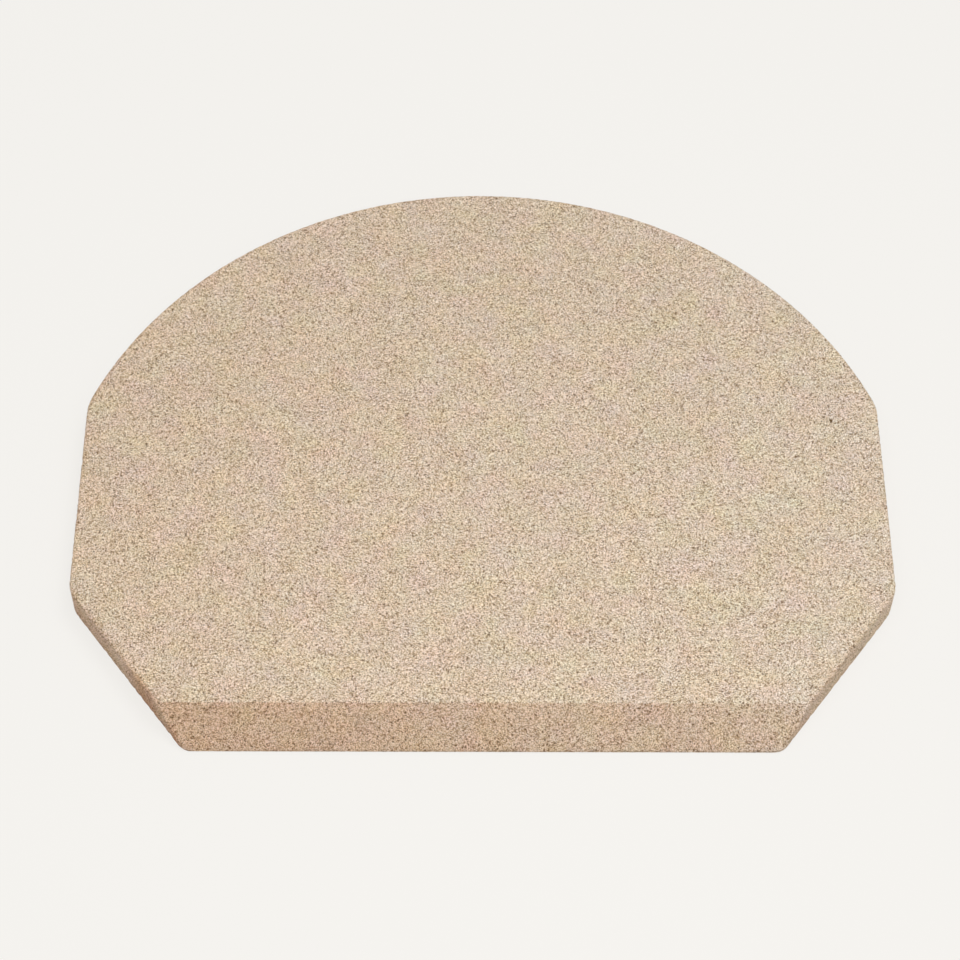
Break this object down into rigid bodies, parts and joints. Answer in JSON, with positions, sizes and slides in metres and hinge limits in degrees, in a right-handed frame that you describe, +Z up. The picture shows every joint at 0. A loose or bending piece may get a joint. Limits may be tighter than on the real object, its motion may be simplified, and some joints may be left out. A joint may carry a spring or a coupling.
{
  "type": "stove baffle plate",
  "caption": "Flat vermiculite baffle plate for a wood stove, with an arched back edge, cut front corners and a bevelled front edge",
  "frame": {"origin": "middle of the plate's width and depth, on its underside", "axes": "+X across the plate, +Y from the bevelled front edge to the crown of the arched back edge, +Z up through the thickness"},
  "size_m": [0.45, 0.3699, 0.02],
  "materials": {
    "vermiculite_board": "pressed vermiculite board, matt and granular, beige with brown and pale flakes"
  },
  "bodies": {
    "root": {"baffle_plate": "vermiculite_board"}
  },
  "joints": []
}
